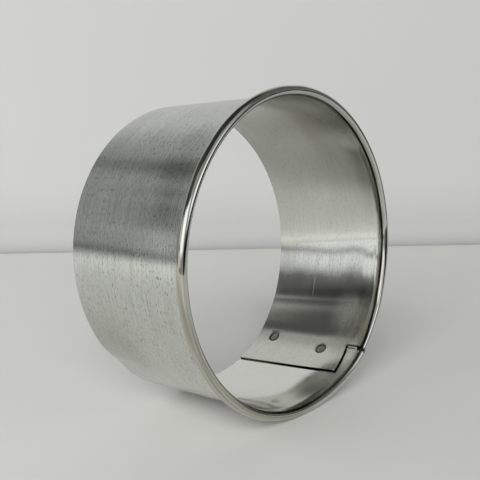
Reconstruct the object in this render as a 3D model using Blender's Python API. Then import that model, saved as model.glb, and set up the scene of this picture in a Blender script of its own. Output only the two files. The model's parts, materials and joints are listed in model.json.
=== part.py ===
# Crispbread hole cutter: a ring of sheet steel with a wired rim and a spot-welded lap joint.
#
# The ring is drawn about its own axis, which lies along Y. The wired rim faces -Y and the plain
# cutting edge faces +Y. The "laid_on_side" empty then lays the ring on a table at z = 0, where it
# rests on the bottom of its rim and of its cutting edge, as it does when it is put down on its side.

import bmesh
import bpy
from math import acos, atan2, ceil, cos, exp, pi, radians, sin
from mathutils import Matrix, Vector

# Driving sizes, in metres
THROAT_DIAMETER = 0.080       # inside width of the ring
RING_HEIGHT = 0.038           # from the front of the rim to the cutting edge
SHEET = 0.0004                # thickness of the steel strip
WIRE_DIAMETER = 0.0016        # stiffening wire that the rim is curled round
WIRE_CLEARANCE = 0.00005      # between the wire and the curl
LIP_GAP = 0.0001              # between the curl's lip and the outside of the wall
BUTT_GAP = 0.0003             # between the two ends of the rim, where they meet at the seam

# How the rolled strip departs from a true circle
OVAL = 0.0014                 # half of the longest width less half of the mean width
RIM_OVAL_ANGLE = radians(14)  # direction of the longest width at the rim
EDGE_OVAL_ANGLE = radians(-12)
SEAM_PEAK = 0.0016            # how far the straight ends of the strip stand out at the seam
SEAM_PEAK_ANGLE = radians(22)

# Lap joint
SEAM_ANGLE = radians(-48.8)   # where the ends of the rim meet, from +X towards +Z
INNER_TAB = 0.0104            # length of the tab that runs past the seam on the inside
OUTER_TAB = 0.0060            # length of the tab that runs past the seam on the outside
NOTCH_AT_SEAM = 0.0054        # from the front of the rim to the side of a tab, at the seam
NOTCH_AT_TIP = 0.0038         # the same at the tip of a tab
LAP_CLEARANCE = 0.00006       # between the two layers of the lap
JOGGLE = 0.009                # length over which the inner end steps in by one sheet

# Spot welds
WELD_DIAMETER = 0.0028
WELD_CLEARANCE = 0.00005
PIT_DEPTH = 0.00015           # dent that the electrode leaves on the inside
MARK_DEPTH = 0.00005          # fainter dent on the outside
WELDS = {                     # name: (distance from the tip of the inner tab, from the front of the rim)
    "spot_weld_rim_side": (0.0082, 0.0131),
    "spot_weld_edge_side": (0.0104, 0.0317),
}

# Facets
RING_STEPS = 100
CURL_STEPS = 14
WIRE_SIDES = 12
WELD_SIDES = 24

# Worked out from the sizes above
THROAT_RADIUS = THROAT_DIAMETER / 2
BEAD_RADIUS = WIRE_DIAMETER / 2 + WIRE_CLEARANCE + SHEET
LAYER_STEP = SHEET + LAP_CLEARANCE
LAP_THICKNESS = SHEET + LAYER_STEP
STEP_ANGLE = 2 * pi / RING_STEPS
CURL_ANGLE = 2 * pi - acos((BEAD_RADIUS - SHEET - LIP_GAP) / BEAD_RADIUS)
CUTTER_LENGTH = 6 * LAP_THICKNESS


def clear_scene():
    for old in list(bpy.data.objects):
        bpy.data.objects.remove(old, do_unlink=True)


def steel(name, colour, roughness):
    material = bpy.data.materials.new(name)
    material.use_nodes = True
    shader = material.node_tree.nodes["Principled BSDF"]
    shader.inputs["Base Color"].default_value = (*colour, 1.0)
    shader.inputs["Metallic"].default_value = 1.0
    shader.inputs["Roughness"].default_value = roughness
    return material


def along(length):
    """The angle round the ring that a length of strip takes."""
    return length / THROAT_RADIUS


def smooth_step(value):
    value = min(max(value, 0.0), 1.0)
    return value * value * (3 - 2 * value)


def ring_radius(angle, depth):
    """Inside radius of the wall at an angle round the axis, at a depth behind the front of the rim."""
    share = (depth - BEAD_RADIUS) / (RING_HEIGHT - BEAD_RADIUS)
    share = min(max(share, 0.0), 1.0)
    rim_oval = OVAL * cos(2 * (angle - RIM_OVAL_ANGLE))
    edge_oval = OVAL * cos(2 * (angle - EDGE_OVAL_ANGLE))
    from_seam = (angle - SEAM_ANGLE + pi) % (2 * pi) - pi
    peak = SEAM_PEAK * exp(-((from_seam / SEAM_PEAK_ANGLE) ** 2))
    return THROAT_RADIUS + rim_oval * (1 - share) + edge_oval * share + peak


def layer_offset(travel):
    """The strip starts as the outer layer of the lap and steps in by one sheet before its other end."""
    joggle_end = 2 * pi - along(OUTER_TAB + BUTT_GAP)
    return -LAYER_STEP * smooth_step(1 - (joggle_end - travel) / along(JOGGLE))


def ring_point(travel, depth, out):
    """A point of the strip: travel is the angle from the seam, out the distance off the wall's inside."""
    angle = SEAM_ANGLE - travel
    radius = ring_radius(angle, depth) + layer_offset(travel) + out
    return Vector((radius * cos(angle), depth, radius * sin(angle)))


def stations(first, last):
    """Angles along the strip, at even steps, with both ends exact."""
    spread = [first]
    step = ceil(first / STEP_ANGLE + 0.3)
    while step * STEP_ANGLE < last - 0.3 * STEP_ANGLE:
        spread.append(step * STEP_ANGLE)
        step += 1
    return spread + [last]


def notch_depth(travel):
    """Side of a tab, as a depth behind the front of the rim."""
    past_start = max(-travel, 0.0) / along(OUTER_TAB)
    past_end = max(travel - (2 * pi - along(BUTT_GAP)), 0.0) / along(INNER_TAB)
    share = min(max(past_start, past_end), 1.0)
    return NOTCH_AT_SEAM + (NOTCH_AT_TIP - NOTCH_AT_SEAM) * share


def profile(travel):
    """Pairs of (depth, out) on the two faces of the strip, from the cutting edge to the curl's lip."""
    side = notch_depth(travel)
    pairs = [((RING_HEIGHT, 0.0), (RING_HEIGHT, SHEET)), ((side, 0.0), (side, SHEET))]
    for step in range(CURL_STEPS + 1):
        turn = CURL_ANGLE * step / CURL_STEPS
        outside = (BEAD_RADIUS * (1 - sin(turn)), BEAD_RADIUS * (1 - cos(turn)))
        inner = BEAD_RADIUS - SHEET
        inside = (BEAD_RADIUS - inner * sin(turn), BEAD_RADIUS - inner * cos(turn))
        pairs.append((outside, inside))
    return pairs


def add_mesh(name, shape, material, parent):
    bmesh.ops.recalc_face_normals(shape, faces=shape.faces[:])
    mesh = bpy.data.meshes.new(name)
    shape.to_mesh(mesh)
    shape.free()
    mesh.materials.append(material)
    mesh.shade_smooth()
    mesh.set_sharp_from_angle(angle=radians(40))
    thing = bpy.data.objects.new(name, mesh)
    bpy.context.scene.collection.objects.link(thing)
    thing.parent = parent
    return thing


def add_band(parent):
    """The strip: wall, curl and tabs in one piece. Rows run along the strip, columns round the ring."""
    shape = bmesh.new()
    rim_end = 2 * pi - along(BUTT_GAP)
    outer_tab = stations(-along(OUTER_TAB), 0.0)
    full = stations(0.0, rim_end)
    inner_tab = stations(rim_end, rim_end + along(INNER_TAB))
    columns = []
    for travel in outer_tab[:-1] + full + inner_tab[1:]:
        tab_only = travel < 0 or travel > rim_end
        pairs = profile(travel)[:2] if tab_only else profile(travel)
        columns.append([[shape.verts.new(ring_point(travel, *face)) for face in pair] for pair in pairs])
    for near, far in zip(columns, columns[1:]):
        rows = min(len(near), len(far))
        for row in range(rows - 1):
            for face in (0, 1):
                corners = (near[row][face], near[row + 1][face], far[row + 1][face], far[row][face])
                shape.faces.new(corners)
        for row in (0, rows - 1):
            shape.faces.new((near[row][0], near[row][1], far[row][1], far[row][0]))
    first_full = len(outer_tab) - 1
    last_full = first_full + len(full) - 1
    ends = ((columns[0], 0), (columns[-1], 0), (columns[first_full], 1), (columns[last_full], 1))
    for column, start in ends:
        for row in range(start, len(column) - 1):
            shape.faces.new((column[row][0], column[row][1], column[row + 1][1], column[row + 1][0]))
    band = add_mesh("band", shape, steel("rolled_steel", (0.50, 0.51, 0.49), 0.34), parent)
    for name in WELDS:
        cutter = add_weld_cutter(name, parent)
        hole = band.modifiers.new("hole_" + name, "BOOLEAN")
        hole.operation = "DIFFERENCE"
        hole.solver = "EXACT"
        hole.object = cutter
    return band


def add_rim_wire(parent):
    """The wire inside the curl, an open ring whose ends stop where the ends of the rim do."""
    shape = bmesh.new()
    radius = WIRE_DIAMETER / 2
    rings = []
    for travel in stations(along(BUTT_GAP), 2 * pi - 2 * along(BUTT_GAP)):
        ring = []
        for side in range(WIRE_SIDES):
            turn = 2 * pi * side / WIRE_SIDES
            depth = BEAD_RADIUS + radius * sin(turn)
            angle = SEAM_ANGLE - travel
            out = ring_radius(angle, BEAD_RADIUS) + layer_offset(travel) + BEAD_RADIUS + radius * cos(turn)
            ring.append(shape.verts.new((out * cos(angle), depth, out * sin(angle))))
        rings.append(ring)
    for near, far in zip(rings, rings[1:]):
        for side in range(WIRE_SIDES):
            after = (side + 1) % WIRE_SIDES
            shape.faces.new((near[side], near[after], far[after], far[side]))
    shape.faces.new(rings[0])
    shape.faces.new(rings[-1])
    return add_mesh("rim_wire", shape, steel("wire_steel", (0.42, 0.42, 0.41), 0.45), parent)


def weld_frame(name):
    """Axes at a weld: the origin on the inside of the lap, Z square to the wall and outwards."""
    from_tip, depth = WELDS[name]
    travel = 2 * pi - along(BUTT_GAP) + along(INNER_TAB - from_tip)
    nudge = along(WELD_DIAMETER) / 2
    centre = ring_point(travel, depth, 0.0)
    round_ring = ring_point(travel + nudge, depth, 0.0) - ring_point(travel - nudge, depth, 0.0)
    back = ring_point(travel, depth + WELD_DIAMETER / 2, 0.0) - centre
    normal = round_ring.cross(back).normalized()
    if normal.dot(Vector((centre.x, 0.0, centre.z))) < 0:
        normal = -normal
    round_ring = (round_ring - normal * round_ring.dot(normal)).normalized()
    axes = Matrix((round_ring, normal.cross(round_ring), normal)).transposed().to_4x4()
    return Matrix.Translation(centre) @ axes


def turned(shape, outline, place):
    """Turns an outline of (radius, height) points, which starts and ends on the axis."""
    rings = []
    for radius, height in outline:
        if radius == 0:
            rings.append([shape.verts.new(place @ Vector((0, 0, height)))])
            continue
        ring = []
        for side in range(WELD_SIDES):
            turn = 2 * pi * side / WELD_SIDES
            ring.append(shape.verts.new(place @ Vector((radius * cos(turn), radius * sin(turn), height))))
        rings.append(ring)
    for near, far in zip(rings, rings[1:]):
        for side in range(WELD_SIDES):
            after = (side + 1) % WELD_SIDES
            corners = [near[side % len(near)], near[after % len(near)], far[after % len(far)], far[side % len(far)]]
            shape.faces.new(list(dict.fromkeys(corners)))


def add_weld_cutter(name, parent):
    shape = bmesh.new()
    radius = WELD_DIAMETER / 2 + WELD_CLEARANCE
    middle = LAP_THICKNESS / 2
    outline = [
        (0, middle - CUTTER_LENGTH / 2),
        (radius, middle - CUTTER_LENGTH / 2),
        (radius, middle + CUTTER_LENGTH / 2),
        (0, middle + CUTTER_LENGTH / 2),
    ]
    turned(shape, outline, weld_frame(name))
    cutter = add_mesh("cutter_" + name, shape, steel("cutter", (0.8, 0.2, 0.2), 0.5), parent)
    cutter.hide_render = True
    cutter.display_type = "WIRE"
    return cutter


def add_weld(name, parent):
    """The nugget: one button of metal through both layers, dished where the electrodes pressed."""
    shape = bmesh.new()
    radius = WELD_DIAMETER / 2
    outline = [
        (0, PIT_DEPTH),
        (0.7 * radius, 0.9 * PIT_DEPTH),
        (0.93 * radius, 0.5 * PIT_DEPTH),
        (radius, 0.3 * PIT_DEPTH),
        (radius, LAP_THICKNESS - 0.3 * MARK_DEPTH),
        (0.8 * radius, LAP_THICKNESS - 0.9 * MARK_DEPTH),
        (0, LAP_THICKNESS - MARK_DEPTH),
    ]
    turned(shape, outline, weld_frame(name))
    return add_mesh(name, shape, steel("weld_steel", (0.33, 0.32, 0.30), 0.5), parent)


def lowest(points, tilt):
    return min(point.y * sin(tilt) + point.z * cos(tilt) for point in points)


def lay_down(parent, band):
    """Tips the ring until rim and cutting edge both touch z = 0, and centres its box over the origin."""
    points = [vertex.co for vertex in band.data.vertices]
    edge = [point for point in points if point.y > RING_HEIGHT - SHEET]
    rim = [point for point in points if point.y <= 2 * BEAD_RADIUS]
    tilt = 0.0
    for _ in range(8):
        tilt -= atan2(lowest(edge, tilt) - lowest(rim, tilt), RING_HEIGHT)
    laid = Matrix.Rotation(tilt, 4, "X")
    placed = [laid @ point for point in points]
    middle_x = (min(point.x for point in placed) + max(point.x for point in placed)) / 2
    middle_y = (min(point.y for point in placed) + max(point.y for point in placed)) / 2
    parent.rotation_euler = (tilt, 0.0, 0.0)
    parent.location = (-middle_x, -middle_y, -min(point.z for point in placed))


def main():
    clear_scene()
    laid_on_side = bpy.data.objects.new("laid_on_side", None)
    bpy.context.scene.collection.objects.link(laid_on_side)
    band = add_band(laid_on_side)
    add_rim_wire(laid_on_side)
    for name in WELDS:
        add_weld(name, laid_on_side)
    lay_down(laid_on_side, band)


main()
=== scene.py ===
# %% [markdown]
# # A ring cutter of sheet steel, dressed for its portrait
#
# The object is a plain ring that cuts rounds of crispbread dough. A tinsmith makes it from one flat
# strip: the long front edge is curled round a wire, the strip is rolled up, its ends are lapped, and
# two spot welds hold the lap. This script follows that order. It cuts a flat blank, rolls it with
# one Geometry Nodes tree, and then spends its effort on what sheet steel looks like.
#
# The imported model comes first. It is the frame that everything here has to fit.

# %% Load the frame
import json
from math import acos, atan2, cos, pi, radians, sin
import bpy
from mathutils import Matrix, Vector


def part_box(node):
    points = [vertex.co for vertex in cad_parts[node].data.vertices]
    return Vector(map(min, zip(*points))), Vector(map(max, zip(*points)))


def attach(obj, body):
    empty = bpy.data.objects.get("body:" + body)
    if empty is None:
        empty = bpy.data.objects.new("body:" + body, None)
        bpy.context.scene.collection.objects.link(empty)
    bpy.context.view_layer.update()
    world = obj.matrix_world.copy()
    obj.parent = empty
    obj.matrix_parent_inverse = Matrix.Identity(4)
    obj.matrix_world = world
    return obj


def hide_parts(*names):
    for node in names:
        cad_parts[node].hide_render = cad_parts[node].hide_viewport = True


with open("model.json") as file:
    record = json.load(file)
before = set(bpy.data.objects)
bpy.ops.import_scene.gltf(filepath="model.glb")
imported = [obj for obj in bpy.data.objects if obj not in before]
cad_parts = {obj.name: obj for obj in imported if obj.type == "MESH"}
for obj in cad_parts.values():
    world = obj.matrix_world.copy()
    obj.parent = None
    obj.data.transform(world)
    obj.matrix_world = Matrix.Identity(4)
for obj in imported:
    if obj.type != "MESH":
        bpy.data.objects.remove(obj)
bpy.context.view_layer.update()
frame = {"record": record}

from types import SimpleNamespace

import bmesh
import bpy
from mathutils import Matrix, Vector

# %% [markdown]
# ## Sizes
#
# The ring is described about its own axis, which runs along Y from the curled rim at the front to
# the cutting edge at the back. These are the driving sizes of the solid model, in metres. Anything
# else is worked out from them, so that the metal drawn here lies where the solid has it.

# %% Driving sizes
MM = 0.001
THROAT_RADIUS = 40 * MM
RING_HEIGHT = 38 * MM
SHEET = 0.4 * MM
WIRE_RADIUS = 0.8 * MM
WIRE_CLEARANCE = 0.05 * MM
LIP_GAP = 0.1 * MM
BUTT_GAP = 0.3 * MM
OVAL = 1.4 * MM
RIM_OVAL_ANGLE = radians(14)
EDGE_OVAL_ANGLE = radians(-12)
SEAM_PEAK = 1.6 * MM
SEAM_PEAK_ANGLE = radians(22)
SEAM_ANGLE = radians(-48.8)
INNER_TAB = 10.4 * MM
OUTER_TAB = 6.0 * MM
NOTCH_AT_SEAM = 5.4 * MM
NOTCH_AT_TIP = 3.8 * MM
LAP_CLEARANCE = 0.06 * MM
JOGGLE = 9 * MM
WELD_RADIUS = 1.4 * MM
WELD_CLEARANCE = 0.05 * MM
# Each weld by its distance from the tip of the inner tab, and by its depth behind the front of the rim
WELDS = {
    "spot_weld_rim_side": (8.2 * MM, 13.1 * MM),
    "spot_weld_edge_side": (10.4 * MM, 31.7 * MM),
}

BEAD_RADIUS = WIRE_RADIUS + WIRE_CLEARANCE + SHEET
LAYER_STEP = SHEET + LAP_CLEARANCE
GIRTH = 2 * pi * THROAT_RADIUS
WALL = RING_HEIGHT - BEAD_RADIUS
NOTCH_LINE = RING_HEIGHT - NOTCH_AT_SEAM
CURL_ANGLE = 2 * pi - acos((BEAD_RADIUS - SHEET - LIP_GAP) / BEAD_RADIUS)
CURL = CURL_ANGLE * BEAD_RADIUS
RIM_END = GIRTH - BUTT_GAP
STRIP_END = RIM_END + INNER_TAB
print("The blank is %.1f x %.1f mm" % ((STRIP_END + OUTER_TAB) / MM, (WALL + CURL) / MM))

# %% [markdown]
# ## The flat blank
#
# A blank is what the snips leave: a strip with a tab at each end, a notch in front of each tab, and
# here four round holes where the welds will sit. A blank could be a Boolean of boxes and cylinders,
# but a rolled surface shows every stray edge in its reflections, so it is laid out as a grid of
# quads, finer at the lap, in front of the bend and in the curl.
#
# In the blank X runs along the strip, Y runs across it from the cutting edge to the lip, and Z is
# the depth in the sheet, from the face that will be inside the ring.

# %% Grid lines of the blank
FINE = 0.5 * MM
COARSE = 0.8 * MM
CURL_STEP = 0.22 * MM
LAP_ZONE = 15 * MM
# The stretch of wall in front of the bend that has rows as fine as the curl's
ROOT = 2.6 * MM


def even_cuts(first, last, spacing):
    """Values from first to last, about spacing apart, with both ends exact."""
    count = max(round((last - first) / spacing), 1)
    return [first + (last - first) * step / count for step in range(count + 1)]


def join_cuts(*stretches):
    """One list from stretches that share their end values."""
    return [stretches[0][0]] + [value for stretch in stretches for value in stretch[1:]]


def nearest(lines, value):
    """The index of the grid line that lies closest to a value."""
    return min(range(len(lines)), key=lambda index: abs(lines[index] - value))


# Columns run from the tip of the outer tab to the tip of the inner one
columns = join_cuts(
    even_cuts(-OUTER_TAB, 0.0, FINE),
    even_cuts(0.0, LAP_ZONE, FINE),
    even_cuts(LAP_ZONE, GIRTH - LAP_ZONE, COARSE),
    even_cuts(GIRTH - LAP_ZONE, RIM_END, FINE),
    even_cuts(RIM_END, STRIP_END, FINE),
)
# Rows run from the cutting edge over the notch line and the bend to the lip
rows = join_cuts(
    even_cuts(0.0, NOTCH_LINE, COARSE),
    even_cuts(NOTCH_LINE, WALL - ROOT, FINE),
    even_cuts(WALL - ROOT, WALL, CURL_STEP),
    even_cuts(WALL, WALL + CURL, CURL_STEP),
)
notch_row = nearest(rows, NOTCH_LINE)
print(len(columns), "columns and", len(rows), "rows; the tabs stop at row", notch_row)

# %% [markdown]
# Snips and hands leave the blank less exact than its drawing. The notches slant, so each tab grows
# wider towards its tip. The start of the strip is snipped back a little where its bead begins, and
# the free corner of the inner tab stands off the layer under it by a hair, which is enough for the
# corner to catch its own light. Each of these is a small function of the place on the strip.

# %% How the ends of the strip differ from straight
CORNER_LIFT = 0.03 * MM
CORNER_LENGTH = 6 * MM
CORNER_START = 14 * MM
NICK = 0.7 * MM
NICK_LENGTH = 2.5 * MM
NICK_CENTRE = WALL - 0.3 * MM
NICK_REACH = 1.3 * MM


def notch_lift(x):
    """How much wider a tab grows between the seam and its tip."""
    past = max(-x / OUTER_TAB, (x - RIM_END) / INNER_TAB, 0.0)
    return (NOTCH_AT_SEAM - NOTCH_AT_TIP) * min(past, 1.0)


def in_blank(x):
    """Whether a column belongs to the strip itself, and not to a tab."""
    return -1e-9 <= x <= RIM_END + 1e-9


def eased(value, first, last):
    """Runs smoothly from 0 at first to 1 at last."""
    share = min(max((value - first) / (last - first), 0.0), 1.0)
    return share * share * (3 - 2 * share)


def corner_lift(x, y):
    """How far the free corner of the inner tab stands off the layer under it."""
    by_tip = eased(x, STRIP_END - CORNER_LENGTH, STRIP_END)
    return CORNER_LIFT * by_tip * eased(y, CORNER_START, RING_HEIGHT - NOTCH_AT_TIP)


def nick(x, y):
    """How far the start of the strip is snipped back."""
    near_bend = max(1 - abs(y - NICK_CENTRE) / NICK_REACH, 0.0)
    return NICK * near_bend * (1 - eased(x, 0.0, NICK_LENGTH)) if x >= 0 else 0.0


print("The inner tab widens by", round(notch_lift(STRIP_END) / MM, 1), "mm towards its tip")

# %% [markdown]
# Round each weld hole the grid is left open, and the gap is filled with rings of quads that turn the
# square outline into a circle. The electrodes press the sheet in there, so each ring also notes how
# far it is pushed, deepest at the hole. The rolling adds that depth later.

# %% Holes for the welds
HOLE_RADIUS = WELD_RADIUS + WELD_CLEARANCE
PATCH_REACH = 2.7 * MM
# Distance from the hole and depth of the dent of each ring, in millimetres
DENT_RINGS = ((0.65, 0.0), (0.45, 0.012), (0.3, 0.035), (0.18, 0.075), (0.08, 0.12), (0.0, 0.15))


def weld_holes():
    """Centres of the holes: each weld goes through the inner tab and through the strip's start."""
    centres = []
    for from_tip, depth in WELDS.values():
        x = STRIP_END - from_tip
        centres += [(x, RING_HEIGHT - depth), (x - GIRTH, RING_HEIGHT - depth)]
    return centres


def block_round(centre):
    """First and last column and row of the block of cells that is left open round a hole."""
    x, y = centre
    left, right = nearest(columns, x - PATCH_REACH), nearest(columns, x + PATCH_REACH)
    return left, right, nearest(rows, y - PATCH_REACH), nearest(rows, y + PATCH_REACH)


def outline_of(block):
    """Grid indices round a block of cells, in order."""
    left, right, low, high = block
    lap = [(column, low) for column in range(left, right)]
    lap += [(right, row) for row in range(low, high)]
    lap += [(column, high) for column in range(right, left, -1)]
    return lap + [(left, row) for row in range(high, low, -1)]


def ring_the_hole(sheet, dent, centre, outer):
    """Rings of quads between the square outline of a block and the circle of its hole."""
    middle = Vector((*centre, 0.0))
    ways = [(vertex.co - middle).normalized() for vertex in outer]
    for off_hole, depth in DENT_RINGS:
        ring = [sheet.verts.new(middle + way * (HOLE_RADIUS + off_hole * MM)) for way in ways]
        for k, point in enumerate(ring):
            after = (k + 1) % len(ring)
            point[dent] = depth * MM
            sheet.faces.new((outer[k], outer[after], ring[after], ring[k]))
        outer = ring


blocks = [block_round(centre) for centre in weld_holes()]
print("Round each hole", len(outline_of(blocks[0])), "points lead from the square to the circle")

# %% Lay out one face of the blank


def grid_points(sheet, dent):
    """The points of the grid by column and row, without the corners that the notches cut away."""
    points = {}
    for i, x in enumerate(columns):
        for j, y in enumerate(rows):
            if j <= notch_row or in_blank(x):
                lift = notch_lift(x) * y / rows[notch_row] if j <= notch_row else 0.0
                points[i, j] = sheet.verts.new((x + nick(x, y), y + lift, 0.0))
                points[i, j][dent] = -corner_lift(x, y + lift)
    return points


def grid_faces(sheet, points):
    """A quad in each cell of the grid, apart from the blocks round the holes."""
    for i in range(len(columns) - 1):
        for j in range(len(rows) - 1):
            corners = [(i, j), (i + 1, j), (i + 1, j + 1), (i, j + 1)]
            open_cell = any(a <= i < b and c <= j < d for a, b, c, d in blocks)
            if not open_cell and all(corner in points for corner in corners):
                sheet.faces.new([points[corner] for corner in corners])


def lay_out_face(sheet):
    """Adds one face of the blank; the dent layer holds how far a point is pressed in."""
    dent = sheet.verts.layers.float.new("dent")
    points = grid_points(sheet, dent)
    grid_faces(sheet, points)
    for centre, block in zip(weld_holes(), blocks):
        ring_the_hole(sheet, dent, centre, [points[index] for index in outline_of(block)])
        for i in range(block[0] + 1, block[1]):
            for j in range(block[2] + 1, block[3]):
                sheet.verts.remove(points.pop((i, j)))


print("The grid has", (len(columns) - 1) * (len(rows) - 1), "cells before notches and holes")

# %% [markdown]
# The second face, the cut edges between the two, and a fine rounding of those edges turn the face
# into a sheet with a real thickness. Three more things are written onto the mesh for the finish to
# read later: a UV map with the place on the flat strip in metres, an attribute that tells the sheared
# edges from the rolled faces, and one that tells the outside from the inside. A grain that reads the
# UV map runs round the ring wherever the strip is bent to.

# %% Give the blank its thickness
EDGE_ROUNDING = 0.045 * MM


def flat_uv(sheet):
    """The place on the flat strip, in metres, as a UV map."""
    layer = sheet.loops.layers.uv.new("strip")
    for face in sheet.faces:
        for loop in face.loops:
            loop[layer].uv = loop.vert.co.xy


def to_mesh(shape, name):
    """Turns a finished bmesh into a mesh and frees it."""
    mesh = bpy.data.meshes.new(name)
    shape.to_mesh(mesh)
    shape.free()
    return mesh


def make_blank():
    """The flat strip as a closed sheet."""
    sheet = bmesh.new()
    lay_out_face(sheet)
    sheared = sheet.faces.layers.float.new("sheared")
    front = sheet.faces[:]
    back = bmesh.ops.duplicate(sheet, geom=sheet.verts[:] + sheet.edges[:] + front)
    bmesh.ops.reverse_faces(sheet, faces=front)
    partner = back["vert_map"]
    for item in back["geom"]:
        if isinstance(item, bmesh.types.BMVert):
            item.co.z = SHEET
    border = [edge for edge in sheet.edges if edge.is_boundary and edge.verts[0].co.z < SHEET / 2]
    cut_edges = []
    for edge in border:
        loop = edge.link_loops[0]
        a, b = loop.vert, loop.link_loop_next.vert
        side = sheet.faces.new((b, a, partner[a], partner[b]))
        on_lip = min(a.co.y, b.co.y) > WALL + CURL - FINE
        side[sheared] = 0.0 if on_lip else 1.0
        cut_edges += [edge, sheet.edges.get((partner[a], partner[b]))]
    outer = sheet.verts.layers.float.new("outer")
    for vertex in sheet.verts:
        vertex[outer] = vertex.co.z / SHEET
    bmesh.ops.bevel(sheet, geom=cut_edges, offset=EDGE_ROUNDING, segments=2, profile=0.5, affect="EDGES")
    flat_uv(sheet)
    return to_mesh(sheet, "blank")


blank = make_blank()
print("The blank has", len(blank.vertices), "points and", len(blank.polygons), "faces")

# %% [markdown]
# ## Rolling it up
#
# The wall is a ring that isn't quite round: rolled sheet springs back into an oval, and because the
# rollers never bend the last few millimetres, the two straight ends meet in a slight point. The
# front edge curls round the wire in a circle of its own. All of this is one rule that says where a
# place on the flat strip ends up. It could be done point by point in Python, but as a Geometry Nodes
# tree each size stays a named input that can be changed while the ring is watched, and the wire and
# the welds can go through the same tree.
#
# A small helper writes a formula as Math nodes, so that the rule below reads like one. The materials
# use it too.

# %% Formulas as nodes
ANY_NUMBER_OF_TERMS = ("ADD", "MULTIPLY", "MAXIMUM", "MINIMUM")


def feed(tree, value, socket):
    """Writes a number or a colour into a socket, or links another socket to it."""
    if isinstance(value, (int, float)):
        socket.default_value = value
    elif isinstance(value, tuple):
        socket.default_value = (*value, 1.0)
    else:
        tree.links.new(value, socket)


def formula_writer(tree):
    """A function that adds Math nodes to a tree and returns the result."""
    def write(operation, *values):
        if operation in ANY_NUMBER_OF_TERMS and len(values) > 2:
            values = (write(operation, *values[:-1]), values[-1])
        node = tree.nodes.new("ShaderNodeMath")
        node.operation = operation
        for socket, value in zip(node.inputs, values):
            feed(tree, value, socket)
        return node.outputs[0]
    return write


def bell(math, value):
    """1 where the value is 0, falling off smoothly on both sides."""
    return math("EXPONENT", math("MULTIPLY", value, value, -1.0))


def held(math, value):
    """The value, held between 0 and 1."""
    return math("MINIMUM", math("MAXIMUM", value, 0.0), 1.0)


print("Formulas may use", ", ".join(ANY_NUMBER_OF_TERMS).lower(), "with any number of terms")

# %% [markdown]
# The tree gets its sizes as named inputs. The last ones are what making and use leave in the metal:
# a shallow neck and a fine ridge where the roller pinched the wall in front of the bead, soft waves
# in the sheet and along the rim, a ripple in the bead, and a knock in the cutting edge. All are under
# a millimetre, and most far under it, but polished metal shows them: a reflection bends with every
# hundredth.

# %% Sizes of the rolling rule
ROLL_SIZES = {
    "Throat Radius": THROAT_RADIUS,
    "Wall": WALL,
    "Bead Radius": BEAD_RADIUS,
    "Oval": OVAL,
    "Rim Oval Angle": RIM_OVAL_ANGLE,
    "Edge Oval Angle": EDGE_OVAL_ANGLE,
    "Seam Angle": SEAM_ANGLE,
    "Seam Peak": SEAM_PEAK,
    "Seam Peak Angle": SEAM_PEAK_ANGLE,
    "Joggle": JOGGLE,
    "Joggle End": GIRTH - OUTER_TAB - BUTT_GAP,
    "Layer Step": LAYER_STEP,
    "Neck": 0.17 * MM,
    "Neck Place": 4 * MM,
    "Neck Width": 6 * MM,
    "Root Ridge": 0.10 * MM,
    "Root Width": 1.3 * MM,
    "Sheet Waves": 0.035 * MM,
    "Waves Start": LAP_ZONE - 4 * MM,
    "Waves Growth": 6 * MM,
    "Rim Waves": 0.05 * MM,
    "Rim Waves Reach": 7 * MM,
    "Bead Ripple": 0.035 * MM,
    "Knock": 0.75 * MM,
    "Knock Place": 62.5 * MM,
    "Knock Width": 4.5 * MM,
    "Knock Reach": 7 * MM,
}
print("The rule has", len(ROLL_SIZES), "sizes")

# %% Rules of the curl, the ring and the lap


def curl_rule(math, size, across, sunk, ripple):
    """Across the strip: a straight wall, then the curl, which the rolls left a little uneven."""
    turn = math("DIVIDE", math("MAXIMUM", math("SUBTRACT", across, size["Wall"]), 0.0), size["Bead Radius"])
    curling = math("MINIMUM", math("MULTIPLY", turn, 2.0), 1.0)
    uneven = math("MULTIPLY", ripple, size["Bead Ripple"], curling)
    reach = math("SUBTRACT", size["Bead Radius"], math("ADD", sunk, uneven))
    straight = math("MAXIMUM", math("SUBTRACT", size["Wall"], across), 0.0)
    curled = math("SUBTRACT", size["Bead Radius"], math("MULTIPLY", reach, math("SINE", turn)))
    out = math("SUBTRACT", size["Bead Radius"], math("MULTIPLY", reach, math("COSINE", turn)))
    return straight, math("ADD", curled, straight), out


def round_rule(math, size, along, straight):
    """Round the ring: the oval, which turns a little from rim to edge, and the point at the seam."""
    travel = math("DIVIDE", along, size["Throat Radius"])
    angle = math("SUBTRACT", size["Seam Angle"], travel)

    def oval(way):
        return math("COSINE", math("MULTIPLY", math("SUBTRACT", angle, way), 2.0))
    share = math("DIVIDE", straight, size["Wall"])
    at_rim = math("MULTIPLY", oval(size["Rim Oval Angle"]), math("SUBTRACT", 1.0, share))
    at_edge = math("MULTIPLY", oval(size["Edge Oval Angle"]), share)
    spring = math("MULTIPLY", math("ADD", at_rim, at_edge), size["Oval"])
    from_seam = math("DIVIDE", math("PINGPONG", travel, pi), size["Seam Peak Angle"])
    return angle, math("ADD", spring, math("MULTIPLY", bell(math, from_seam), size["Seam Peak"]))


def joggle_rule(math, size, along):
    """The step of the lap: how far along it a place is, from 0 to 1, and how far in that puts it."""
    before_end = math("DIVIDE", math("SUBTRACT", size["Joggle End"], along), size["Joggle"])
    stepped = held(math, math("SUBTRACT", 1.0, before_end))
    softened = math("MULTIPLY", stepped, stepped, math("MULTIPLY_ADD", stepped, -2.0, 3.0))
    return stepped, math("MULTIPLY", softened, size["Layer Step"])


print("Three rules give the shape: across the strip, round the ring, and at the lap")

# %% [markdown]
# What making and use leave comes on top, as small lengths that pull the wall in or let it wave. Noise
# gives the waves, stretched to the length that each has in the metal, and a bell keeps each mark near
# its place. All of it could be sculpted by hand, but then it would stay behind when a size changes.

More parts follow.
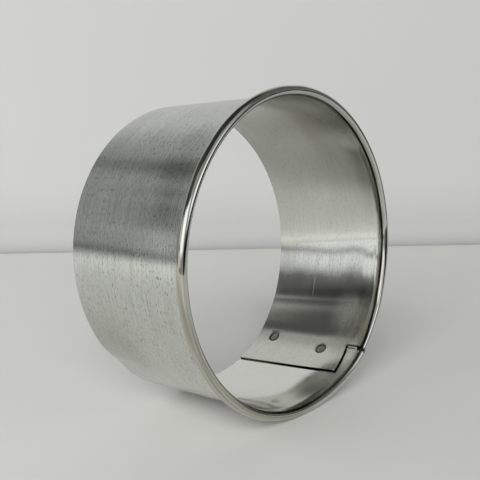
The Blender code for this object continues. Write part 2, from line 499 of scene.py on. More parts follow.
# %% Rules of wear
# Length along the strip, length across it, and seed of each unevenness
RIPPLE_PATTERN = (7 * MM, 1.1 * MM, 3.0)
RIDGE_PATTERN = (11 * MM, 90 * MM, 8.0)
SHEET_PATTERN = (17 * MM, 12 * MM, 5.0)
RIM_PATTERN = (26 * MM, 2.3 * MM, 14.0)
RIDGE_UNEVENNESS = 2.6


def unevenness(tree, along, across, pattern):
    """Smooth noise from 0 to 1, with its own length along the strip and across it."""
    math = formula_writer(tree)
    along_size, across_size, seed = pattern
    spot = tree.nodes.new("ShaderNodeCombineXYZ")
    terms = (math("DIVIDE", along, along_size), math("DIVIDE", across, across_size), seed)
    for socket, value in zip(spot.inputs, terms):
        feed(tree, value, socket)
    field = tree.nodes.new("ShaderNodeTexNoise")
    field.inputs["Scale"].default_value = 1.0
    field.inputs["Detail"].default_value = 1.0
    tree.links.new(spot.outputs[0], field.inputs["Vector"])
    return field.outputs[0]


def pinch_rule(math, size, straight, root, ridge):
    """How far the roller pinched the wall in front of the bead, in a ridge and in a wider neck."""
    pinched = math("MULTIPLY", root, bell(math, root), size["Root Ridge"])
    pinched = math("MULTIPLY", pinched, math("MULTIPLY_ADD", ridge, RIDGE_UNEVENNESS, 1.0))
    off_neck = math("DIVIDE", math("SUBTRACT", straight, size["Neck Place"]), size["Neck Width"])
    necked = math("MULTIPLY", bell(math, off_neck), math("SUBTRACT", 1.0, bell(math, root)))
    return math("ADD", pinched, math("MULTIPLY", necked, size["Neck"]))


def wave_rule(math, size, along, straight, stepped, root, sheet_field, rim_field):
    """Soft waves in the sheet, and longer ones by the rim; the lap and the bend stay as they are."""
    after_lap = math("DIVIDE", math("SUBTRACT", along, size["Waves Start"]), size["Waves Growth"])
    single = math("MULTIPLY", held(math, after_lap), math("SUBTRACT", 1.0, stepped))
    waves = math("MULTIPLY", math("SUBTRACT", sheet_field, 0.5), size["Sheet Waves"])
    near_rim = bell(math, math("DIVIDE", straight, size["Rim Waves Reach"]))
    rim_waves = math("MULTIPLY", math("SUBTRACT", rim_field, 0.5), size["Rim Waves"], near_rim)
    return math("MULTIPLY", math("ADD", waves, rim_waves), single, math("SUBTRACT", 1.0, bell(math, root)))


def knock_rule(math, size, along, across):
    """The dent that a fall left in the cutting edge."""
    aside = math("DIVIDE", math("SUBTRACT", along, size["Knock Place"]), size["Knock Width"])
    behind = math("DIVIDE", across, size["Knock Reach"])
    return math("MULTIPLY", bell(math, aside), bell(math, behind), size["Knock"])


print("Three more say how far the wall is pinched, waved and knocked")

# %% [markdown]
# The parts come together in one radius and one depth for each place on the strip. The strip runs
# against the angle, which turns its faces inside out, so the tree flips them back. It ends by making
# its result real and by giving it its metal.

# %% The rule as a node tree


def give_sockets(tree):
    """The named inputs of the rolling tree, and its output."""
    tree.interface.new_socket("Geometry", in_out="INPUT", socket_type="NodeSocketGeometry")
    for name, value in ROLL_SIZES.items():
        socket = tree.interface.new_socket(name, in_out="INPUT", socket_type="NodeSocketFloat")
        socket.default_value = value
    tree.interface.new_socket("Material", in_out="INPUT", socket_type="NodeSocketMaterial")
    tree.interface.new_socket("Geometry", in_out="OUTPUT", socket_type="NodeSocketGeometry")


def rolled_place(tree, size):
    """Where a place on the flat strip ends up."""
    math = formula_writer(tree)
    flat = tree.nodes.new("ShaderNodeSeparateXYZ")
    tree.links.new(tree.nodes.new("GeometryNodeInputPosition").outputs[0], flat.inputs[0])
    dent = tree.nodes.new("GeometryNodeInputNamedAttribute")
    dent.data_type = "FLOAT"
    dent.inputs["Name"].default_value = "dent"
    along, across, sunk = flat.outputs
    fields = [unevenness(tree, along, across, pattern)
              for pattern in (RIPPLE_PATTERN, RIDGE_PATTERN, SHEET_PATTERN, RIM_PATTERN)]
    straight, depth, out = curl_rule(math, size, across, sunk, fields[0])
    angle, spread = round_rule(math, size, along, straight)
    stepped, step_in = joggle_rule(math, size, along)
    root = math("DIVIDE", straight, size["Root Width"])
    pinched = pinch_rule(math, size, straight, root, fields[1])
    waves = wave_rule(math, size, along, straight, stepped, root, fields[2], fields[3])
    worn = math("ADD", pinched, knock_rule(math, size, along, across))
    radius = math("ADD", math("ADD", size["Throat Radius"], out), spread)
    radius = math("ADD", math("SUBTRACT", radius, step_in), dent.outputs["Attribute"])
    radius = math("ADD", math("SUBTRACT", radius, worn), waves)
    place = tree.nodes.new("ShaderNodeCombineXYZ")
    tree.links.new(math("MULTIPLY", radius, math("COSINE", angle)), place.inputs["X"])
    tree.links.new(depth, place.inputs["Y"])
    tree.links.new(math("MULTIPLY", radius, math("SINE", angle)), place.inputs["Z"])
    return place.outputs[0]


def roll_tree():
    """The tree that rolls whatever is laid out on the flat strip."""
    tree = bpy.data.node_groups.new("roll_the_strip", "GeometryNodeTree")
    give_sockets(tree)
    size = tree.nodes.new("NodeGroupInput").outputs
    chain = [tree.nodes.new(kind) for kind in (
        "GeometryNodeSetPosition", "GeometryNodeFlipFaces", "GeometryNodeRealizeInstances",
        "GeometryNodeSetMaterial")]
    tree.links.new(rolled_place(tree, size), chain[0].inputs["Position"])
    tree.links.new(size["Material"], chain[-1].inputs["Material"])
    tree.links.new(size["Geometry"], chain[0].inputs[0])
    for before, after in zip(chain, chain[1:]):
        tree.links.new(before.outputs[0], after.inputs[0])
    end = tree.nodes.new("NodeGroupOutput")
    tree.links.new(chain[-1].outputs["Geometry"], end.inputs["Geometry"])
    return tree


ROLL = roll_tree()
print("The rolling rule takes", len(ROLL.nodes), "nodes")

# %% [markdown]
# ## The camera
#
# The ring was photographed from close by, a little above the table, from the side of its curled rim.
# The place and lens below give the same outline as the photograph.

# %% Camera
EYE = Vector((-151.35, -123.9, 70.02)) * MM
LOOK_ROUND = radians(50.26)
LOOK_DOWN = radians(7.94)
LENS = 55.86


def add_object(name, data):
    """A new object in the scene."""
    thing = bpy.data.objects.new(name, data)
    bpy.context.scene.collection.objects.link(thing)
    return thing


camera = add_object("camera", bpy.data.cameras.new("camera"))
camera.data.lens = LENS
camera.data.clip_start = 10 * MM
camera.location = EYE
camera.rotation_euler = (pi / 2 - LOOK_DOWN, 0, -LOOK_ROUND)
bpy.context.scene.camera = camera
print("Camera", round(EYE.length / MM), "mm from the ring")

# %% [markdown]
# ## Masks and colours as nodes
#
# Paper, room and steel all need the same few things from their shaders: a mask that fades in as some
# value rises, a mask of a line, and a mix of two colours. Each could be placed by hand in every
# material, but as helpers they keep the recipes below down to what matters, which is where a mark
# lies and what colour it has.

# %% Helpers for masks and colours


def fade(tree, value, first, last, low=0.0, high=1.0, shape="SMOOTHSTEP"):
    """Follows a value from low at first to high at last."""
    node = tree.nodes.new("ShaderNodeMapRange")
    node.interpolation_type = shape
    for name, setting in (("From Min", first), ("From Max", last), ("To Min", low), ("To Max", high)):
        feed(tree, setting, node.inputs[name])
    tree.links.new(value, node.inputs["Value"])
    return node.outputs[0]


def window(tree, value, rise, fall):
    """Fades in over the first stretch of a value and out over the second."""
    return formula_writer(tree)("MULTIPLY", fade(tree, value, *rise), fade(tree, value, *fall, 1.0, 0.0))


def line_mask(tree, value, middle, half, soft):
    """1 on a line at the middle of a value, fading out beside it."""
    math = formula_writer(tree)
    off = math("ABSOLUTE", math("SUBTRACT", value, middle))
    return fade(tree, off, half - soft, half + soft, 1.0, 0.0)


def mixed(tree, factor, first, second):
    """A colour between two, each a colour or a socket."""
    node = tree.nodes.new("ShaderNodeMix")
    node.data_type = "RGBA"
    tree.links.new(factor, node.inputs["Factor"])
    feed(tree, first, node.inputs[6])
    feed(tree, second, node.inputs[7])
    return node.outputs[2]


print("Helpers:", ", ".join(helper.__name__ for helper in (fade, window, line_mask, mixed)))

# %% [markdown]
# ## Stage and light
#
# Steel has no colour of its own to speak of: it shows what stands round it. So the stage is part of
# the finish. The ring lies on a pale table. Behind it a sheet of pale paper rises from the table in a
# tight crease. Its colour carries painted shade down in the crease and towards its left end, which
# the light of the real room hardly reached. Both are plain sheets, because nothing of them shows but
# their colour.

# %% Sheets of the table and the wall
TABLE = 1500 * MM
WALL_AWAY = 277 * MM
WALL_ROUND = 42.9
WALL_TOP = 420 * MM
WALL_SIDES = (-430 * MM, 300 * MM)
CREASE_RADIUS = 14 * MM
CREASE_STEPS = 8
OFF_TABLE = 0.1 * MM


def table_sheet():
    """The table as one square."""
    sheet = bmesh.new()
    corners = [(x * TABLE / 2, y * TABLE / 2, 0) for x, y in ((-1, -1), (1, -1), (1, 1), (-1, 1))]
    sheet.faces.new([sheet.verts.new(corner) for corner in corners])
    return to_mesh(sheet, "table")


def wall_sheet():
    """A sheet that leaves the table in a quarter circle and then stands straight up."""
    bends = [pi / 2 * step / CREASE_STEPS for step in range(CREASE_STEPS + 1)]
    start = WALL_AWAY - CREASE_RADIUS
    outline = [(start + CREASE_RADIUS * sin(bend), CREASE_RADIUS * (1 - cos(bend)) + OFF_TABLE)
               for bend in bends]
    outline.append((WALL_AWAY, WALL_TOP))
    turn = Matrix.Rotation(-radians(WALL_ROUND), 4, "Z")
    sheet = bmesh.new()
    pairs = []
    for back, up in outline:
        pairs.append([sheet.verts.new(turn @ Vector((side, back, up))) for side in WALL_SIDES])
    for near, far in zip(pairs, pairs[1:]):
        sheet.faces.new((near[0], near[1], far[1], far[0]))
    mesh = to_mesh(sheet, "paper_wall")
    mesh.shade_smooth()
    return mesh


print("The paper stands", round(WALL_AWAY / MM), "mm behind the ring and", round(WALL_TOP / MM), "mm high")

# %% Table top and paper
TABLE_TOP = (0.66, 0.66, 0.63)
PAPER = (0.46, 0.46, 0.45)
# Painted shade down in the crease of the paper
PAPER_SHADED_IN_CREASE = (0.405, 0.405, 0.395)
PAPER_IN_SHADE = (0.11, 0.11, 0.105)
PAPER_RISE = 45 * MM
# Painted shade: the paper darkens from the second place along the wall to the first
WALL_SHADE = (-400 * MM, -110 * MM)


def plain(name, colour, roughness):
    """A material of one colour."""
    material = bpy.data.materials.new(name)
    material.use_nodes = True
    shader = material.node_tree.nodes["Principled BSDF"]
    shader.inputs["Base Color"].default_value = (*colour, 1.0)
    shader.inputs["Roughness"].default_value = roughness
    return material


def wall_paper():
    """Pale paper with painted shade down in its crease and towards its left end."""
    material = plain("wall_paper", PAPER, 0.8)
    tree = material.node_tree
    place = tree.nodes.new("ShaderNodeTexCoord").outputs["Object"]
    parts = tree.nodes.new("ShaderNodeSeparateXYZ")
    tree.links.new(place, parts.inputs[0])
    colour = mixed(tree, fade(tree, parts.outputs["Z"], 0.0, PAPER_RISE), PAPER_SHADED_IN_CREASE, PAPER)
    aside = tree.nodes.new("ShaderNodeVectorMath")
    aside.operation = "DOT_PRODUCT"
    aside.inputs[1].default_value = (cos(radians(WALL_ROUND)), -sin(radians(WALL_ROUND)), 0.0)
    tree.links.new(place, aside.inputs[0])
    lit = fade(tree, aside.outputs["Value"], *WALL_SHADE, shape="LINEAR")
    colour = mixed(tree, lit, PAPER_IN_SHADE, colour)
    tree.links.new(colour, tree.nodes["Principled BSDF"].inputs["Base Color"])
    return material


finished = ((table_sheet(), plain("table_top", TABLE_TOP, 0.55)), (wall_sheet(), wall_paper()))
for mesh, material in finished:
    mesh.materials.append(material)
    stage = add_object(mesh.name, mesh)
    print("Stage:", stage.name, "of", len(mesh.polygons), "faces")

# %% [markdown]
# The key lamp is a large soft box behind the camera, a little to its left. In the photograph the
# steel mirrors nothing like it, so the lamp is kept out of reflections: it lights the paper and the
# table, and leaves the mirror images to the room.

# %% Key light
SOFT_BOX_ROUND, SOFT_BOX_UP, SOFT_BOX_AWAY = -119, 28, 2.4
SOFT_BOX_AIM = (0, 0, 0.04)
SOFT_BOX_SIZE = (1.9, 1.4)
SOFT_BOX_WATTS = 58


def add_lamp(name, place, aim, size, watts, colour=(1, 1, 1)):
    """A soft lamp that neither the camera nor the steel sees."""
    data = bpy.data.lights.new(name, "AREA")
    data.shape = "RECTANGLE"
    data.size, data.size_y = size
    data.energy = watts
    data.color = colour
    lamp = add_object(name, data)
    lamp.location = place
    lamp.rotation_euler = (Vector(aim) - Vector(place)).to_track_quat("-Z", "Y").to_euler()
    lamp.visible_camera = False
    lamp.visible_glossy = False
    print(name, "at", [round(part, 2) for part in place], "with", watts, "watts")


def towards(round_z, up, distance):
    """The point at an azimuth (from +Y towards +X) and an elevation, in degrees."""
    azimuth, elevation = radians(round_z), radians(up)
    level = cos(elevation) * distance
    return Vector((sin(azimuth) * level, cos(azimuth) * level, sin(elevation) * distance))


soft_box_place = towards(SOFT_BOX_ROUND, SOFT_BOX_UP, SOFT_BOX_AWAY)
add_lamp("soft_box", soft_box_place, SOFT_BOX_AIM, SOFT_BOX_SIZE, SOFT_BOX_WATTS)

# %% [markdown]
# The inside of the ring mirrors the table at its left, out of the picture, and that table is brighter
# there than the part that the camera sees. A small lamp low over it makes that pool of light.

# %% Pool of light on the table at the side
POOL = towards(-63, 0, 0.44)
POOL_LAMP_PLACE = POOL + Vector((0, 0, 250 * MM))
POOL_LAMP_SIZE = (0.36, 0.36)
POOL_LAMP_WATTS = 0.85
POOL_LAMP_COLOUR = (0.97, 0.98, 1.0)

add_lamp("pool_lamp", POOL_LAMP_PLACE, POOL, POOL_LAMP_SIZE, POOL_LAMP_WATTS, POOL_LAMP_COLOUR)

# %% [markdown]
# The rest of the room is the world's own shader. Each thing in the room that the steel mirrors is a
# soft-edged window on the sky: from one azimuth to another, from one elevation to another. A thing
# further down the list lies over the ones before it, so a dim corner can carry a darker patch. The
# light strip at the side isn't level: between two azimuths the whole room is raised by up to 11
# degrees. The camera itself sees a plain pale sky instead.

# %% Room
ROOM = (0.40, 0.41, 0.395)
# Name, colour, azimuths, elevations and softness of the edges, in degrees
ROOM_THINGS = (
    ("pale wall behind the paper", (0.56, 0.56, 0.55), (26, 92), (-10, 40), 16),
    ("dim end of the room", (0.15, 0.15, 0.14), (88, 138), (9, 66), 6),
    ("dark ceiling", (0.05, 0.05, 0.05), (-180, 180.1), (55.5, 100), 4),
    ("ceiling over the side", (0.085, 0.085, 0.08), (-125, -13), (39.5, 58), 2.5),
    ("dim corner", (0.105, 0.105, 0.10), (-115, -41), (14, 43), 3),
    ("dark corner", (0.03, 0.03, 0.03), (-115, -41), (24, 31), 2.5),
    ("corner of the ceiling", (0.07, 0.07, 0.065), (-115, -34.5), (32, 43), 2.5),
    ("dim end of the light strip", (0.28, 0.28, 0.27), (-58, -28), (-4, 11), 3),
    ("light strip at the side", (0.98, 0.99, 1.01), (-112, -50), (-30, 11.0), 4),
    ("higher end of the light strip", (0.92, 0.93, 0.95), (-112, -52.2), (4, 16.5), 2.5),
    ("edge of the table", (0.1, 0.1, 0.095), (-51, -30), (-1.6, 2.0), 0.6),
    ("far edge of the table", (0.08, 0.08, 0.075), (-112, -50.5), (-2.5, 0.6), 0.8),
    ("window at the left", (1.5, 1.5, 1.5), (-152, -90), (8, 35), 3),
    ("window at the right", (1.25, 1.25, 1.25), (144, 180), (9.5, 24), 2.5),
    ("dark behind the camera", (0.01, 0.012, 0.02), (105, 203), (-6.5, 8), 1.5),
)
# Between two azimuths the room is raised: so much for each degree from the nearer one, up to the most
RAISED_FROM = -51.0
RAISED_TO = -92.0
RAISED = 1.2
RAISED_MOST = 11.0
PALE_SKY = (0.60, 0.60, 0.59)


def room_tree(tree):
    """The colour of the room by azimuth and elevation, and a plain sky for the camera."""
    math = formula_writer(tree)
    way = tree.nodes.new("ShaderNodeSeparateXYZ")
    tree.links.new(tree.nodes.new("ShaderNodeTexCoord").outputs["Generated"], way.inputs[0])
    x, y, z = way.outputs
    up = math("DEGREES", math("ARCSINE", z))
    round_z = math("DEGREES", math("ARCTAN2", x, y))
    past = math("MINIMUM", math("SUBTRACT", RAISED_FROM, round_z), math("SUBTRACT", round_z, RAISED_TO))
    past = math("MAXIMUM", math("MULTIPLY", past, RAISED), 0.0)
    up = math("SUBTRACT", up, math("MINIMUM", past, RAISED_MOST))
    colour = ROOM
    for name, tint, sides, heights, soft in ROOM_THINGS:
        turned = math("WRAP", math("SUBTRACT", round_z, sum(sides) / 2), 180.0, -180.0)
        aside = line_mask(tree, turned, 0.0, (sides[1] - sides[0]) / 2, soft)
        level = line_mask(tree, up, sum(heights) / 2, (heights[1] - heights[0]) / 2, soft)
        colour = mixed(tree, math("MULTIPLY", aside, level), colour, tint)
        colour.node.label = name
    by_camera = tree.nodes.new("ShaderNodeLightPath").outputs["Is Camera Ray"]
    tree.links.new(mixed(tree, by_camera, colour, PALE_SKY), tree.nodes["Background"].inputs["Color"])


world = bpy.data.worlds.new("room")
world.use_nodes = True
bpy.context.scene.world = world
room_tree(world.node_tree)
print("The room has", len(ROOM_THINGS), "things in it")

# %% [markdown]
# ## What the steel is made of
#
# Rolled sheet is never one grey. The rolls leave a fine grain along the strip, dirt sits in small
# pits that the rolls drew out lengthwise, and hands leave soft clouds where the metal is a little
# duller. Each effect is a node group with named inputs, so band, wire and welds can each take it at
# their own strength. All of them read the UV map with the place on the flat strip, turned into
# millimetres, so the grain follows the metal round every bend.

# %% Helpers for shader groups


def shader_group(name, inputs, output_names):
    """A new group, with its tree, its input sockets and its output sockets."""
    tree = bpy.data.node_groups.new(name, "ShaderNodeTree")
    tree.interface.new_socket("Place", in_out="INPUT", socket_type="NodeSocketVector")
    for label, value in inputs.items():
        socket = tree.interface.new_socket(label, in_out="INPUT", socket_type="NodeSocketFloat")
        socket.default_value = value
    for label in output_names:
        tree.interface.new_socket(label, in_out="OUTPUT", socket_type="NodeSocketFloat")
    return tree, tree.nodes.new("NodeGroupInput").outputs, tree.nodes.new("NodeGroupOutput").inputs


def place_group(tree, group, place, **values):
    """Puts a group into a material, with its own values for some of the inputs."""
    node = tree.nodes.new("ShaderNodeGroup")
    node.node_tree = group
    tree.links.new(place, node.inputs["Place"])
    for name, value in values.items():
        node.inputs[name.replace("_", " ").title()].default_value = value
    return node.outputs


def divided(tree, place, along, across):
    """Place divided by a length along the strip and one across it, which may be sockets or numbers."""
    sizes = tree.nodes.new("ShaderNodeCombineXYZ")
    for socket, value in zip(sizes.inputs, (along, across, 1.0)):
        feed(tree, value, socket)
    node = tree.nodes.new("ShaderNodeVectorMath")
    node.operation = "DIVIDE"
    tree.links.new(place, node.inputs[0])
    tree.links.new(sizes.outputs[0], node.inputs[1])
    return node.outputs[0]


def noise(tree, place, detail, roughness, seed):
    """Noise of about one wave for each unit of place."""
    node = tree.nodes.new("ShaderNodeTexNoise")
    node.noise_dimensions = "4D"
    node.inputs["W"].default_value = seed
    node.inputs["Scale"].default_value = 1.0
    node.inputs["Detail"].default_value = detail
    node.inputs["Roughness"].default_value = roughness
    tree.links.new(place, node.inputs["Vector"])
    return node.outputs["Fac"]


def patches(tree, place, size, look, rise, spread=(0.0, 1.0)):
    """Soft patches of a size along and across; look is the noise's detail, roughness and seed."""
    field = noise(tree, divided(tree, place, *size), *look)
    return fade(tree, field, *rise, *spread)


print("Helpers:", ", ".join(helper.__name__ for helper in (shader_group, place_group, divided, patches)))

# %% [markdown]
# The grain is noise drawn out along the strip, with shorter, coarser pores in it. The specks are
# cells of a Voronoi pattern, stretched the same way: chance says which cells hold a speck, how large
# and how dark it is, and they crowd in some places as dirt does.

# %% Grain, specks and clouds
GRAIN_LOOK = (3.0, 0.65, 7.0)
PORE_LOOK = (2.0, 0.6, 3.0)
PORE_STRETCH = (0.1, 1.15)
CROWD_SIZE = (26.0, 12.0)
CROWD_LOOK = (2.0, 0.5, 11.0)
CLOUD_LOOK = (3.0, 0.55, 19.0)


def grain_group():
    tree, given, result = shader_group(
        "rolled_grain", {"Streak Length": 11.0, "Streak Width": 0.23}, ["Streaks", "Pores"])
    long_way = divided(tree, given["Place"], given["Streak Length"], given["Streak Width"])
    tree.links.new(noise(tree, long_way, *GRAIN_LOOK), result["Streaks"])
    tree.links.new(noise(tree, divided(tree, long_way, *PORE_STRETCH), *PORE_LOOK), result["Pores"])
    return tree


def speck_group():
    sizes = {"Cell Length": 1.5, "Cell Width": 0.8, "Share": 0.26, "Size": 0.28}
    tree, given, result = shader_group("drawn_specks", sizes, ["Specks"])
    math = formula_writer(tree)
    cells = tree.nodes.new("ShaderNodeTexVoronoi")
    cells.voronoi_dimensions = "2D"
    cells.inputs["Scale"].default_value = 1.0
    stretched = divided(tree, given["Place"], given["Cell Length"], given["Cell Width"])
    tree.links.new(stretched, cells.inputs["Vector"])
    chance = tree.nodes.new("ShaderNodeSeparateColor")
    tree.links.new(cells.outputs["Color"], chance.inputs[0])
    crowd = patches(tree, given["Place"], CROWD_SIZE, CROWD_LOOK, (0.4, 0.65), (0.1, 2.2))
    there = math("LESS_THAN", chance.outputs["Red"], math("MULTIPLY", given["Share"], crowd))
    reach = math("MULTIPLY", given["Size"], math("MULTIPLY_ADD", chance.outputs["Green"], 0.8, 0.2))
    spot = fade(tree, math("DIVIDE", cells.outputs["Distance"], reach), 0.3, 1.0, 1.0, 0.0)
    weight = math("MULTIPLY_ADD", math("POWER", chance.outputs["Blue"], 3.0), 0.8, 0.2)
    tree.links.new(math("MULTIPLY", spot, there, weight), result["Specks"])
    return tree


def cloud_group():
    tree, given, result = shader_group("handled_clouds", {"Length": 16.0, "Width": 7.0}, ["Clouds"])
    size = (given["Length"], given["Width"])
    tree.links.new(patches(tree, given["Place"], size, CLOUD_LOOK, (0.3, 0.7)), result["Clouds"])
    return tree


GRAIN, SPECKS, CLOUDS = grain_group(), speck_group(), cloud_group()
print("Shared effects:", ", ".join(group.name for group in (GRAIN, SPECKS, CLOUDS)))

# %% [markdown]
# The three metals share one base. The highlight of brushed metal is drawn out square to its grain,
# which the Principled shader does when it is given a tangent: here the UV map's own. Before any mark
# is placed, the band also needs to know where a point lies: on the wall or on the bead, and inside or
# outside.

# %% Steel
ALONG_GRAIN = 0.25


def attribute(tree, name):
    """A value that the mesh holds at each of its points or faces."""
    node = tree.nodes.new("ShaderNodeAttribute")
    node.attribute_name = name
    return node.outputs["Fac"]


def steel(name, anisotropy):
    """A metal with its tangent along the strip; returns the material, its tree and its shader."""
    material = bpy.data.materials.new(name)
    material.use_nodes = True
    tree = material.node_tree
    shader = tree.nodes["Principled BSDF"]
    shader.inputs["Metallic"].default_value = 1.0
    shader.inputs["Anisotropic"].default_value = anisotropy
    shader.inputs["Anisotropic Rotation"].default_value = ALONG_GRAIN
    tangent = tree.nodes.new("ShaderNodeTangent")
    tangent.direction_type = "UV_MAP"
    tangent.uv_map = "strip"
    tree.links.new(tangent.outputs[0], shader.inputs["Tangent"])
    return material, tree, shader


def strip_place(tree):
    """The place on the flat strip in millimetres."""
    uv = tree.nodes.new("ShaderNodeUVMap")
    uv.uv_map = "strip"
    return divided(tree, uv.outputs[0], MM, MM)


def bump(tree, shader, height, depth):
    """Lets a height tilt the surface, at its real depth."""
    node = tree.nodes.new("ShaderNodeBump")
    node.inputs["Distance"].default_value = depth
    tree.links.new(height, node.inputs["Height"])
    tree.links.new(node.outputs[0], shader.inputs["Normal"])


# Places across the strip, in millimetres
BEND = WALL / MM
NOTCH = NOTCH_LINE / MM


def sheet_places(tree):
    """The places and the faces of the band, by name, for the marks below."""
    math = formula_writer(tree)
    place = strip_place(tree)
    parts = tree.nodes.new("ShaderNodeSeparateXYZ")
    tree.links.new(place, parts.inputs[0])
    along, across = parts.outputs[:2]
    outer = attribute(tree, "outer")
    bead = fade(tree, across, BEND - 0.6, BEND + 0.6)
    on_wall = math("SUBTRACT", 1.0, bead)
    inner = math("MULTIPLY", on_wall, math("SUBTRACT", 1.0, outer))
    return SimpleNamespace(tree=tree, math=math, place=place, along=along, across=across, outer=outer,
                           inner=inner, bead=bead, on_wall=on_wall)


print("The wall is", round(BEND, 2), "mm deep in front of the bead; the tabs reach", round(NOTCH, 1), "mm")

# %% [markdown]
# Dirt gathers where a cloth doesn't reach: in the crease where the wall turns into the bead, under
# the lip, in the butt seam, and in the fine step along the edge of the inner tab. Painted shade
# darkens the crease and the gap under the lip, and a painted shadow lies along the tab's edge,
# widest at the free corner. It could be painted by hand, but the places follow from the sizes of the
# strip, so each is a mask round its own line.

# %% Dirt and painted shade in the creases and at the lap
# How far the line moves onto the bead towards both ends of the strip, in millimetres
CREASE_SHIFT = 0.6


def lap_grime_and_shadow(at):
    """Grime and a painted shadow on the lower layer along the edge of the inner tab, widest at its free
    corner.
    """
    math, tree = at.math, at.tree
    tip = (INNER_TAB - BUTT_GAP) / MM
    slope = (NOTCH_AT_SEAM - NOTCH_AT_TIP) / INNER_TAB
    spread = fade(tree, at.across, 0.0, 34.0, 0.12, 0.62)
    off_tip = math("SUBTRACT", at.along, tip)
    off_notch = math("SUBTRACT", at.across, math("MULTIPLY_ADD", at.along, slope, NOTCH))
    beyond = math("MAXIMUM", off_tip, off_notch)
    # Painted shadow of the tab's edge, with grime, widest at the free corner
    grime_and_shadow = fade(tree, math("DIVIDE", beyond, spread), 0.55, 1.0, 1.0, 0.0)
    near = window(tree, at.along, (0.3, 1.5), (tip + 1.5, tip + 2.5))
    return math("MULTIPLY", grime_and_shadow, near, math("SUBTRACT", 1.0, at.outer))


def bend_dirt_and_shade(at):
    """The line of dirt and painted shade in the crease, fainter near the lap, and for one stretch a second
    one on the bead.
    """
    math, tree = at.math, at.tree
    patchy = patches(tree, at.place, (22.0, 60.0), (3.0, 0.6, 31.0), (0.3, 0.62), (0.7, 1.0))
    low = math("ADD", fade(tree, at.along, 65.0, 105.0, 1.0, 0.0), fade(tree, at.along, 236.0, 248.0))
    shifted = math("SUBTRACT", at.across, math("MULTIPLY", low, CREASE_SHIFT))
    off_lap = fade(tree, math("ABSOLUTE", math("SUBTRACT", at.along, 4.0)), 8.0, 26.0, 0.5, 1.0)
    bend = math("MULTIPLY", line_mask(tree, shifted, BEND + 0.1, 0.34, 0.14), patchy, off_lap)
    under = math("MULTIPLY", line_mask(tree, at.across, BEND + 0.8, 0.42, 0.15),
                 window(tree, at.along, (20.0, 32.0), (66.0, 82.0)), math("SUBTRACT", 1.0, at.outer))
    return math("MAXIMUM", bend, under)


def crease_dirt_and_shade(at):
    """All the dirt and painted shade that sit in creases."""
    math, tree = at.math, at.tree
    # Painted shadow in the gap under the lip of the curl
    lip = math("MULTIPLY", line_mask(tree, at.across, BEND - 1.25, 0.3, 0.2), at.outer, 0.6)
    ends = [line_mask(tree, at.along, end / MM, 0.45, 0.2) for end in (0.0, RIM_END)]
    in_bead = fade(tree, at.across, NOTCH - 0.1, NOTCH + 0.1)
    seam = math("MULTIPLY", math("ADD", *ends), in_bead, 0.75)
    return math("MINIMUM", math("ADD", bend_dirt_and_shade(at), lip, seam, lap_grime_and_shadow(at)), 1.0)


print("The butt seam is", BUTT_GAP / MM, "mm wide, and dirt fills it")

# %% [markdown]
# Years of use leave soft marks: a thin film under the top of the ring, denser towards the rim, a
# smudge in it, a rubbed and brighter stretch after the lap, haze near the ends of the strip, a faint
# scratch, and a darker patch on the outside by the cutting edge. Part of the film's darkness is
# painted shade. Hardly any has a sharp outline, so each is a soft mask at its place on the strip,
# and most are broken up by the same smudges.

# %% Marks of use, and painted shade in the film
# Middle, half width and softness of each mark, along the strip and across it, in millimetres
SCRATCH = ((233.5, 2.6, 1.5), (14.4, 0.1, 0.12))
HAZE = ((240.5, 3.5, 4.0), (28.0, 3.5, 3.0))
DARKER_PATCH_BY_EDGE = ((70.0, 9.0, 7.0), (6.0, 9.0, 7.0))
# The same, along the strip only
# Where a dark film with painted shade lies under the top of the ring
FILM_AND_SHADE_UNDER_TOP = (168.0, 34.5, 20.5)
SMUDGE = (178.0, 5.0, 4.5)


def mark(at, along, across):
    """A soft patch on the strip."""
    lines = line_mask(at.tree, at.along, *along), line_mask(at.tree, at.across, *across)
    return at.math("MULTIPLY", *lines)


def rubbed_bright(at):
    """Where the inside is rubbed bright, from the start of the strip on."""
    return at.math("MULTIPLY", fade(at.tree, at.along, 24.0, 44.0, 0.8, 0.0), at.inner)


def film_and_painted_shade(at, smudges):
    """Film and painted shade under the top of the ring, denser towards the rim, and the smudge in it."""
    math, tree = at.math, at.tree
    overhead = math("MULTIPLY", line_mask(tree, at.along, *FILM_AND_SHADE_UNDER_TOP), at.inner)
    by_the_rim = fade(tree, at.across, 18.0, 35.0, 0.32, 0.74)
    fading = fade(tree, at.across, 4.0, 18.0, 0.0, 0.26)
    smudge = math("MULTIPLY", line_mask(tree, at.along, *SMUDGE), fading, at.inner)
    return math("ADD", math("MULTIPLY", overhead, smudges, by_the_rim), smudge)


def breathed_haze(at, smudges):
    """Pale haze near the end of the strip, and along the bend beside the lap."""
    math, tree = at.math, at.tree
    by_bend = math("MULTIPLY", fade(tree, at.along, 10.0, 24.0, 1.0, 0.0), fade(tree, at.across, 27.0, 32.0))
    return math("MULTIPLY", math("MAXIMUM", mark(at, *HAZE), by_bend), at.inner, smudges)


def scratch(at):
    """One faint scratch along the inside."""
    return at.math("MULTIPLY", mark(at, *SCRATCH), 0.55, at.inner)


def darker_patch_by_edge(at, smudges):
    """A darker patch on the outside by the cutting edge."""
    return at.math("MULTIPLY", mark(at, *DARKER_PATCH_BY_EDGE), at.outer, smudges)


def lap_stain(at):
    """A yellowish stain on the end of the strip and its tab, in bands along it."""
    math, tree = at.math, at.tree
    bands = patches(tree, at.place, (12.0, 1.3), (2.0, 0.5, 23.0), (0.3, 0.7), (0.3, 1.0))
    there = math("MULTIPLY", fade(tree, at.across, 24.0, 33.0), fade(tree, at.along, 232.0, 244.0))
    return math("MULTIPLY", there, at.inner, bands)


